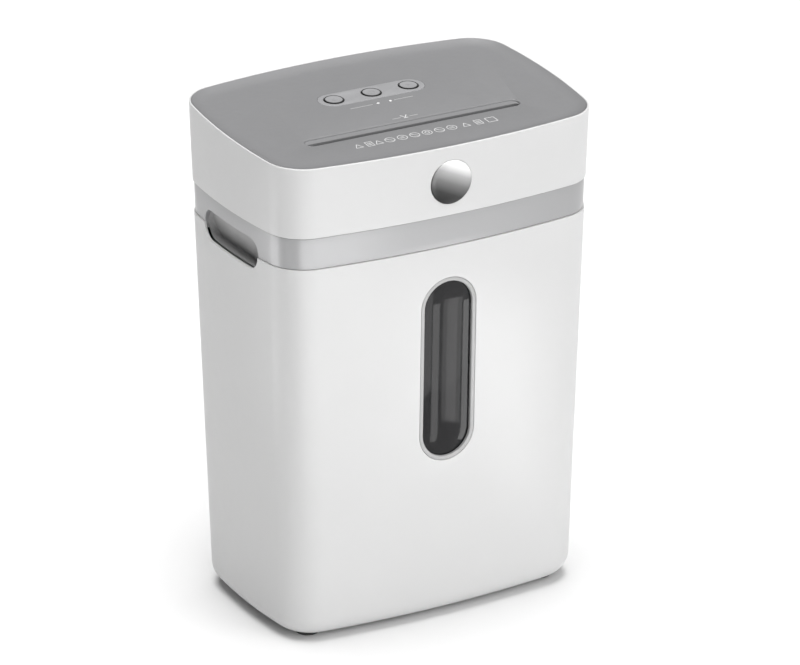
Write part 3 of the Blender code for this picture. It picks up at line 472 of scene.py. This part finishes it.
def window_ring(radius, inset):
    """A capsule on the curved front wall, at a depth under its face."""
    middle = (WINDOW_LOW + WINDOW_HIGH) / 2
    half = (WINDOW_HIGH - WINDOW_LOW) / 2 + radius
    points = [(v, middle + u) for u, v in capsule(half, radius, 32, 12)]
    return [(x, front_y(x, z, inset), z) for x, z in points]


def handle_ring(side, grow, inset):
    """A capsule on one side wall, at a depth under its face."""
    shape = capsule(HANDLE_LENGTH + grow, HANDLE_RADIUS + grow, 24, 8)
    points = [(HANDLE_Y + u, HANDLE_Z + v) for u, v in shape]
    return [(side * side_x(y, z, inset), y, z) for y, z in points]


def handle_cutter(side, face, edge):
    """Cuts one handle opening through a wall whose face is at an inset, with a rounded edge."""
    rings = [handle_ring(side, edge, face - 0.004)]
    rings += [handle_ring(side, edge * grow, face + edge * depth) for grow, depth in rounding()]
    rings.append(handle_ring(side, 0.0, 0.012))
    return loft("handle_cut", rings)


def window_cutter(edge):
    rings = [window_ring(WINDOW_RADIUS + edge, -0.004)]
    rings += [window_ring(WINDOW_RADIUS + edge * grow, edge * depth) for grow, depth in rounding()]
    rings.append(window_ring(WINDOW_RADIUS, 0.01))
    return loft("window_cut", rings)


def bin_shell():
    edge = 0.0007
    rings = list(bowl_rings(BIN_FILLET, 0.0))
    low = rings[-1]
    high = level_ring(BIN_TOP - edge, 0.0)
    rings += [ring_between(low, high, share / 12) for share in range(1, 12)]
    rings += [level_ring(BIN_TOP - edge * grow, edge * depth) for grow, depth in rounding()]
    rings.append(level_ring(BIN_TOP, WALL))
    rings += reversed(list(bowl_rings(BIN_FILLET - WALL, WALL)))
    obj = loft("bin_wall", rings, MATERIALS["white_shell"])
    carve(obj, handle_cutter(-1, 0.0, edge), handle_cutter(1, 0.0, edge), window_cutter(0.0004))
    shown(obj, "bin", "white_shell", "bin_shell")


def window_frame():
    outer = WINDOW_RADIUS - GAP
    edge = 0.0005
    lip = 0.0012
    rings = [window_ring(outer, 0.0016)]
    rings += [window_ring(outer - edge * depth, 0.0002 + edge * grow) for grow, depth in rounding()]
    rings += [window_ring(LENS_RADIUS + lip * grow, 0.0002 + lip * depth) for grow, depth in rounding(6)]
    rings.append(window_ring(LENS_RADIUS, 0.0034))
    rings.append(window_ring(LENS_RADIUS + 0.0008, 0.0034))
    rings.append(window_ring(LENS_RADIUS + 0.0008, 0.0016))
    obj = loft("window_ring", rings, MATERIALS["pale_grey"], loop=True)
    shown(obj, "bin", "pale_grey", "window_frame")


def window_lens():
    """Crowned smoked plastic behind the ring."""
    outer = LENS_RADIUS + 0.0006
    crown = 0.0024
    rings = [window_ring(0.001, 0.0050), window_ring(outer, 0.0050)]
    steps = 16
    for step in range(steps + 1):
        radius = outer + (0.001 - outer) * step / steps
        rings.append(window_ring(radius, 0.0032 - crown * (1 - (radius / outer) ** 2)))
    obj = loft("window_glass", rings, MATERIALS["smoked_lens"])
    shown(obj, "bin", "smoked_lens", "window_lens")


def feet():
    top = BIN_BASE - GAP
    profile = [(0, top), (0.0110, top), (0.0110, 0.0008), (0.0108, 0.0003), (0.0104, 0), (0, 0)]
    for y, depth in ((-0.066, "front"), (0.062, "back")):
        for x, side in ((-0.124, "left"), (0.124, "right")):
            obj = placed(turned(f"pad_{depth}_{side}", profile, MATERIALS["rubber"]), (x, y, 0))
            shown(obj, "bin", "rubber", f"foot_{depth}_{side}")


# ---------------------------------------------------------------- head housing


def badge_place():
    lean = math.atan((TOP_PLAN.half_depth - FLOOR_PLAN.half_depth) / HEIGHT)
    return (0, front_y(0, BADGE_HEIGHT), BADGE_HEIGHT), (math.pi / 2 + lean, 0, 0)


def gland_place():
    x = -0.110
    z = 0.425
    turn = math.asin(x / bow_radius(TOP_PLAN.half_width, TOP_PLAN.back_bow))
    return (x, back_y(x, z), z), (-math.pi / 2, 0, -turn)


def plug(radius, low, high, segments=64):
    """A plain cylinder cutter about Z."""
    shape = arc((0, 0), radius, 0, 2 * math.pi, segments)
    return loft("plug", [[(x, y, z) for x, y in shape] for z in (low, high)])


def upper_shell():
    foot = 0.0008
    rim = 0.0009
    inner = 0.0006
    rings = [level_ring(SHELL_LOW + foot * depth, foot * grow) for grow, depth in rounding()]
    low = rings[-1]
    high = rim_ring(0.0, rim)
    rings += [ring_between(low, high, share / 8) for share in range(1, 8)]
    rings += [rim_ring(rim * depth, rim * grow) for grow, depth in rounding(6)]
    rings += [rim_ring(RIM_WIDTH - inner * grow, inner * depth) for grow, depth in rounding()]
    rings.append(rim_ring(RIM_WIDTH, 0.0032))
    rings.append(rim_ring(SHELL_WALL, 0.0032))
    rings.append(level_ring(SHELL_LOW, SHELL_WALL - 0.0002))
    obj = loft("head_wall", rings, MATERIALS["white_shell"], loop=True)
    pocket = placed(plug(BADGE_RADIUS + GAP, -0.001, 0.01), *badge_place())
    hole = placed(plug(0.0073, -0.02, 0.01), *gland_place())
    carve(obj, pocket, hole)
    shown(obj, "head", "white_shell", "upper_shell")


def badge_disc():
    edge = BADGE_RADIUS
    profile = [(0, 0.0008), (edge * 0.6, 0.0008), (edge - 0.0008, 0.0008), (edge - 0.0004, 0.0006)]
    profile += [(edge - 0.0001, 0.0003), (edge, 0.0), (edge, -0.0007), (0, -0.0007)]
    obj = placed(turned("badge", profile, MATERIALS["chrome"], 96), *badge_place())
    shown(obj, "head", "chrome", "badge_disc")


def silver_band():
    edge = 0.0003
    top = level_ring(BAND_HIGH - edge, BAND_INSET)
    rings = [level_ring(BAND_LOW + edge * depth, BAND_INSET + edge * grow) for grow, depth in rounding()]
    low = rings[-1]
    rings += [ring_between(low, top, share / 4) for share in range(1, 4)]
    rings += [level_ring(BAND_HIGH - edge * grow, BAND_INSET + edge * depth) for grow, depth in rounding()]
    rings += [
        level_ring(BAND_HIGH, SHELL_WALL + GAP),
        level_ring(BAND_HIGH + TONGUE, SHELL_WALL + GAP),
        level_ring(BAND_HIGH + TONGUE, BAND_INNER),
        level_ring(BAND_LOW - TONGUE, BAND_INNER),
        level_ring(BAND_LOW - TONGUE, WALL + 0.0005),
        level_ring(BAND_LOW, WALL + 0.0005),
    ]
    obj = loft("band", rings, MATERIALS["silver_band"], loop=True)
    carve(obj, handle_cutter(-1, BAND_INSET, 0.0005), handle_cutter(1, BAND_INSET, 0.0005))
    shown(obj, "head", "silver_band", "silver_band")


def cup_floor_x(z):
    """The recess is deepest at the bottom and comes forwards towards the top."""
    share = (z - HANDLE_Z + HANDLE_RADIUS) / (2 * HANDLE_RADIUS)
    return CUP_FLOOR + CUP_WALL + (CUP_RISE - CUP_WALL) * share


def handle_cup(side, name):
    """The closed pocket behind one side opening, with a scooped floor."""

    def mouth(grow):
        return handle_ring(side, grow, BAND_INNER + GAP)

    def floor(shrink, lift):
        shape = capsule(HANDLE_LENGTH - shrink, HANDLE_RADIUS - shrink, 24, 8)
        points = [(HANDLE_Y + u, HANDLE_Z + v) for u, v in shape]
        return [(side * (cup_floor_x(z) + lift), y, z) for y, z in points]

    blend = 0.0014
    rings = [[(side * CUP_FLOOR, y, z) for x, y, z in mouth(CUP_WALL)], mouth(CUP_WALL), mouth(0.0)]
    rings += [floor(blend * depth, blend * grow) for grow, depth in rounding(8)]
    obj = loft(f"recess_{name}", rings, MATERIALS["pale_grey"])
    shown(obj, "head", "pale_grey", f"handle_cup_{name}")


def cord_gland():
    profile = [
        (0.0033, 0.0020),
        (0.0037, 0.0024),
        (0.0080, 0.0024),
        (0.0090, 0.0020),
        (0.0095, 0.0012),
        (0.0095, 0.0006),
        (0.0070, 0.0006),
        (0.0070, -0.0070),
        (0.0033, -0.0070),
    ]
    rings = [[(x, y, z) for x, y in arc((0, 0), r, 0, 2 * math.pi, 48)] for r, z in profile]
    obj = placed(loft("gland", rings, MATERIALS["rubber"], loop=True), *gland_place())
    shown(obj, "head", "rubber", "cord_gland")


# ---------------------------------------------------------------- top panel and controls


def slope_ring(shape, centre, drop):
    """A flat outline laid on the sloping flat of the panel, at a depth under it."""
    points = [(centre[0] + x, centre[1] + y) for x, y in shape]
    return [(x, y, flat_z(y) - drop) for x, y in points]


def slot_cutter():
    edge = 0.0014
    mouth = [capsule(SLOT_LENGTH + edge * grow, SLOT_WIDTH + edge * grow) for grow, _ in rounding()]
    rings = [slope_ring(mouth[0], (0, SLOT_Y), -0.01)]
    rings += [slope_ring(shape, (0, SLOT_Y), edge * depth) for shape, (_, depth) in zip(mouth, rounding())]
    throat = capsule(THROAT_LENGTH, THROAT_WIDTH)
    rings.append(slope_ring(throat, (0, THROAT_Y), THROAT_DEPTH))
    rings.append(slope_ring(capsule(THROAT_LENGTH - 0.0003, THROAT_WIDTH - 0.0003), (0, THROAT_Y), 0.0033))
    rings.append(slope_ring(capsule(THROAT_LENGTH - 0.0003, THROAT_WIDTH - 0.0003), (0, THROAT_Y), 0.02))
    return loft("slot_cut", rings)


def dish_rings():
    """The panel's top from its edge down the hollow border to the flat."""
    edge = RIM_WIDTH + GAP
    fall = DISH_DEPTH - 0.0002
    radius = bow_radius(DISH_RUN, fall)
    steps = 14
    for step in range(steps + 1):
        left = DISH_RUN * (1 - step / steps)
        drop = DISH_DEPTH - (radius - math.sqrt(radius**2 - left**2))
        yield rim_ring(edge + DISH_RUN - left, drop)
    yield rim_ring(edge + DISH_RUN + 0.001, DISH_DEPTH)


def round_shape(radius, segments=48):
    return arc((0, 0), radius, 0, 2 * math.pi, segments)


def top_panel():
    edge = RIM_WIDTH + GAP
    under = DISH_DEPTH + 0.0063
    rings = [rim_ring(edge + DISH_RUN, under), rim_ring(edge, 0.0030), *dish_rings()]
    obj = loft("panel", rings, MATERIALS["grey_panel"])
    opening = capsule(PLATE_LENGTH, PLATE_RADIUS)
    cuts = [slot_cutter(), loft("plate_cut", [slope_ring(opening, (0, PLATE_Y), d) for d in (-0.01, 0.02)])]
    for side in (-1, 1):
        spot = (side * LIGHT_X, LIGHT_Y)
        shape = round_shape(LIGHT_RADIUS + 0.0001, 24)
        cuts.append(loft("light_cut", [slope_ring(shape, spot, d) for d in (-0.01, 0.02)]))
    carve(obj, *cuts)
    shown(obj, "head", "grey_panel", "top_panel")


def button_plate():
    edge = 0.0003
    rings = []
    for grow, depth in rounding(3):
        shape = capsule(PLATE_LENGTH - 0.0002 - edge * grow, PLATE_RADIUS - 0.0002 - edge * grow)
        rings.append(slope_ring(shape, (0, PLATE_Y), -0.0001 + edge * depth))
    last = capsule(PLATE_LENGTH - 0.0002, PLATE_RADIUS - 0.0002)
    rings.append(slope_ring(last, (0, PLATE_Y), 0.0043))
    obj = loft("plate", rings, MATERIALS["light_grey"])
    cuts = []
    for x in (-BUTTON_PITCH, 0.0, BUTTON_PITCH):
        spot = (x, PLATE_Y)
        lip = [slope_ring(round_shape(BUTTON_HOLE + edge), spot, -0.01)]
        for grow, depth in rounding(3):
            lip.append(slope_ring(round_shape(BUTTON_HOLE + edge * grow), spot, -0.0001 + edge * depth))
        lip.append(slope_ring(round_shape(BUTTON_HOLE), spot, 0.02))
        cuts.append(loft("button_cut", lip))
    carve(obj, *cuts)
    shown(obj, "head", "light_grey", "button_plate")


def bar(points, width, low, high):
    """A flat strip along a path in X and Y, as a closed outline extruded between two heights."""
    left, right = [], []
    for i, point in enumerate(points):
        before = Vector(points[max(0, i - 1)])
        after = Vector(points[min(len(points) - 1, i + 1)])
        along = (after - before).normalized()
        across = Vector((-along.y, along.x)) * width / 2
        left.append(tuple(Vector(point) + across))
        right.append(tuple(Vector(point) - across))
    shape = left + right[::-1]
    return [[(x, y, z) for x, y in shape] for z in (low, high)]


def ring_strip(radius, width, segments=40):
    """Rings of a flat annulus between two heights, as a loop."""
    outer = arc((0, 0), radius + width / 2, 0, 2 * math.pi, segments)
    inner = arc((0, 0), radius - width / 2, 0, 2 * math.pi, segments)
    return outer, inner


def annulus(name, radius, width, low, high, material, segments=40):
    outer, inner = ring_strip(radius, width, segments)
    rings = [
        [(x, y, low) for x, y in outer],
        [(x, y, high) for x, y in outer],
        [(x, y, high) for x, y in inner],
        [(x, y, low) for x, y in inner],
    ]
    return loft(name, rings, material, loop=True)


def joined(name, pieces):
    """Joins meshes into the first one."""
    bm = bmesh.new()
    for piece in pieces:
        bm.from_mesh(piece.data)
    material = pieces[0].data.materials[0]
    for piece in pieces:
        bpy.data.objects.remove(piece)
    return new_object(name, bm, material)


def buttons():
    middle = 0.0003
    rise = 0.0004
    edge = 0.0004
    profile = [(0, middle)]
    for step in range(1, 9):
        profile.append(((BUTTON_RADIUS - edge) * step / 8, middle + rise * (step / 8) ** 2))
    for depth, grow in rounding():
        profile.append((BUTTON_RADIUS - edge * depth, middle + rise - edge * grow))
    profile += [(BUTTON_RADIUS, -0.0046), (0.0112, -0.0046), (0.0112, -0.0060)]
    profile += [(0.0020, -0.0060), (0.0020, -0.0083), (0, -0.0083)]
    material = MATERIALS["light_grey"]
    dark = MATERIALS["black_plastic"]
    top = middle + 0.0001
    for name, x in (("left", -BUTTON_PITCH), ("middle", 0.0), ("right", BUTTON_PITCH)):
        place = ((x, PLATE_Y, flat_z(PLATE_Y)), (TILT, 0, 0))
        obj = placed(turned(f"cap_{name}", profile, material), *place)
        shown(obj, f"button_{name}", "light_grey", f"button_{name}")
        skirt = annulus(f"skirt_{name}", BUTTON_RADIUS - 0.0004, SKIRT_WIDTH, SKIRT_LOW, SKIRT_HIGH, dark)
        shown(placed(skirt, *place), f"button_{name}", "black_plastic")
        if name == "middle":
            marks = [
                annulus("mark", 0.0030, 0.0006, top - 0.0003, top + 0.0001, material),
                loft("mark", bar([(0, 0.0012), (0, 0.0044)], 0.0007, top - 0.0003, top + 0.0001), material),
            ]
        else:
            turn = -1 if name == "left" else 1
            path = [(-0.0016 * turn, 0.0026), (0.0018 * turn, 0.0), (-0.0016 * turn, -0.0026)]
            marks = [loft("mark", bar(path, 0.0007, top - 0.0003, top + 0.0001), material)]
        mark = placed(joined(f"mark_{name}", marks), *place)
        shown(mark, f"button_{name}", "light_grey")


def lights():
    profile = [(0, 0.0004), (0.0008, 0.00035), (LIGHT_RADIUS - 0.0002, 0.0002), (LIGHT_RADIUS, 0.0)]
    profile += [(LIGHT_RADIUS, -0.0147), (0, -0.0147)]
    for name, side in (("left", -1), ("right", 1)):
        place = ((side * LIGHT_X, LIGHT_Y, flat_z(LIGHT_Y)), (TILT, 0, 0))
        obj = placed(turned(f"lamp_{name}", profile, MATERIALS["clear_plastic"], 32), *place)
        shown(obj, "head", "clear_plastic", f"light_pipe_{name}")


# ---------------------------------------------------------------- printed marks

INK_TOP = 0.00006


def print_strip(points, width=0.0007):
    return loft("ink", bar(points, width, -0.0002, INK_TOP), MATERIALS["white_shell"])


def print_ring(radius, width=0.0007):
    return annulus("ink", radius, width, -0.0002, INK_TOP, MATERIALS["white_shell"], 32)


def print_loop(points, width=0.0007):
    """A closed outline of straight strips."""
    return [print_strip([a, b], width) for a, b in zip(points, points[1:] + points[:1])]


def mark_pieces(kind, size):
    """One plain generic sign, about its own middle."""
    if kind == "square":
        return print_loop([(-size, -size), (size, -size), (size, size), (-size, size)])
    if kind == "wedge":
        return print_loop([(-size * 0.8, -size * 0.8), (size * 0.8, -size * 0.8), (0, size * 0.8)])
    if kind == "page":
        corners = [(-size * 0.7, -size), (size * 0.7, -size), (size * 0.7, size), (-size * 0.7, size)]
        rows = [print_strip([(-size * 0.4, y), (size * 0.4, y)]) for y in (-size * 0.4, 0, size * 0.4)]
        return print_loop(corners) + rows
    parts = [print_ring(size)]
    if kind == "ring_bar":
        reach = size * 0.7
        parts.append(print_strip([(-reach, reach), (reach, -reach)]))
    if kind == "ring_ring":
        parts.append(print_ring(size * 0.45))
    if kind == "ring_dash":
        parts += [print_strip([(-size * 0.5, y), (size * 0.5, y)]) for y in (-size * 0.25, size * 0.25)]
    return parts


def printed_marks():
    """A row of plain signs in front of the slot, and short rules by the lights and over the slot."""
    row = ["wedge", "page", "wedge", "ring_bar", "ring_dash", "ring_bar", "ring_ring", "ring_bar"]
    row += ["ring_dash", "wedge", "page", "square"]
    spots = [-0.0706, -0.0590, -0.0500] + [-0.0382 + 0.0128 * step for step in range(6)]
    spots += [0.0400, 0.0535, 0.0668]
    groups = []
    for index, (kind, x) in enumerate(zip(row, spots)):
        obj = joined(f"print_sign_{index}", mark_pieces(kind, 0.0046))
        groups.append((obj, (x, -0.0693)))
    rules = [print_strip([(-0.0355, 0.0), (-0.0125, 0.0)], 0.0004)]
    groups.append((joined("print_rule_left", rules), (0, 0.0080)))
    rules = [print_strip([(0.0105, 0.0), (0.0300, 0.0)], 0.0004)]
    groups.append((joined("print_rule_right", rules), (0, 0.0090)))
    arrow = [print_strip([(-0.0130, -0.0004), (-0.0045, -0.0004)], 0.0004)]
    arrow += [print_strip([(0.0045, -0.0004), (0.0130, -0.0004)], 0.0004)]
    arrow += [print_strip([(-0.0030, 0.0036), (0.0, -0.0010), (0.0030, 0.0036)], 0.0012)]
    arrow += [print_strip([(-0.0022, -0.0022), (0.0022, -0.0022)], 0.0010)]
    groups.append((joined("print_feed_mark", arrow), (0, -0.0292)))
    for obj, (x, y) in groups:
        placed(obj, (x, y, flat_z(y)), (TILT, 0, 0))
        shown(obj, "head", "white_shell")


# ---------------------------------------------------------------- floor, light and camera


def floor():
    bm = bmesh.new()
    bmesh.ops.create_grid(bm, x_segments=8, y_segments=8, size=12.0)
    material = finish("floor_paper", (0.80, 0.80, 0.80), 0.9, tone=0.004, cloud=3, grain=400, depth=0.00002)
    obj = new_object("floor", bm, material)


def aim(obj, target):
    obj.rotation_mode = "QUATERNION"
    obj.rotation_quaternion = (Vector(target) - obj.location).to_track_quat("-Z", "Y")


def sun(name, azimuth, elevation, strength, degrees):
    data = bpy.data.lights.new(name, "SUN")
    data.energy = strength
    data.angle = math.radians(degrees)
    obj = bpy.data.objects.new(name, data)
    bpy.context.scene.collection.objects.link(obj)
    a, e = math.radians(azimuth), math.radians(elevation)
    obj.location = (math.sin(a) * math.cos(e) * 4, -math.cos(a) * math.cos(e) * 4, math.sin(e) * 4)
    aim(obj, (0, 0, 0))


def facing(obj, spot, azimuth, distance, height):
    """Stands an upright piece at an azimuth and distance from a spot, facing it."""
    a = math.radians(azimuth)
    obj.location = (spot[0] + math.sin(a) * distance, spot[1] - math.cos(a) * distance, height)
    aim(obj, (*spot, height))
    obj.visible_camera = False
    obj.visible_diffuse = False


def card(name, spot, azimuth, distance, height, size, radiance):
    """A soft box that shows only in reflections."""
    data = bpy.data.lights.new(name, "AREA")
    data.shape = "RECTANGLE"
    data.size, data.size_y = size
    data.energy = radiance * size[0] * size[1] * math.pi
    obj = bpy.data.objects.new(name, data)
    bpy.context.scene.collection.objects.link(obj)
    facing(obj, spot, azimuth, distance, height)


def lighting():
    world = bpy.data.worlds.new("studio")
    bpy.context.scene.world = world
    world.use_nodes = True
    background = world.node_tree.nodes["Background"]
    background.inputs["Color"].default_value = (1.0, 1.0, 1.0, 1.0)
    background.inputs["Strength"].default_value = 0.04
    sun("overhead", 180, 86, 3.7, 44)
    sun("key", 12, 27, 1.95, 76)
    middle = (0.0, 0.0)
    window = (0.0, -0.11)
    card("card_left", middle, -105, 0.55, 0.16, (0.30, 0.30), 1.9)
    card("card_front", middle, -17, 0.50, 0.16, (0.50, 0.30), 1.8)
    card("card_wide", middle, 20, 0.55, 0.16, (0.45, 0.30), 0.4)
    card("strip_left", window, 15, 0.20, 0.1400, (0.030, 0.190), 3.2)
    card("strip_middle", window, 36, 0.20, 0.1750, (0.046, 0.150), 1.2)
    card("strip_broad", window, 36, 0.195, 0.1750, (0.085, 0.150), 1.6)
    card("strip_right", window, 56, 0.20, 0.1400, (0.040, 0.190), 3.6)
    bpy.context.scene.view_settings.view_transform = "Standard"


def camera():
    data = bpy.data.cameras.new("camera")
    data.sensor_width = 36.0
    data.lens = 249.2
    data.shift_x = -0.0044
    data.clip_start = 0.1
    data.clip_end = 100.0
    obj = bpy.data.objects.new("camera", data)
    bpy.context.scene.collection.objects.link(obj)
    azimuth = math.radians(29.597)
    elevation = math.radians(22.833)
    target = Vector((-0.01938, -0.06085, 0.27389))
    back = Vector((-math.sin(azimuth), -math.cos(azimuth), 0)) * math.cos(elevation)
    back.z = math.sin(elevation)
    obj.location = target + back * 5.0430
    obj.rotation_mode = "QUATERNION"
    obj.rotation_quaternion = (-back).to_track_quat("-Z", "Y")
    bpy.context.scene.camera = obj


camera()
dress_nodes()
bin_shell()
window_frame()
window_lens()
feet()
upper_shell()
badge_disc()
silver_band()
handle_cup(-1, "left")
handle_cup(1, "right")
cord_gland()
top_panel()
button_plate()
buttons()
lights()
printed_marks()
floor()
lighting()
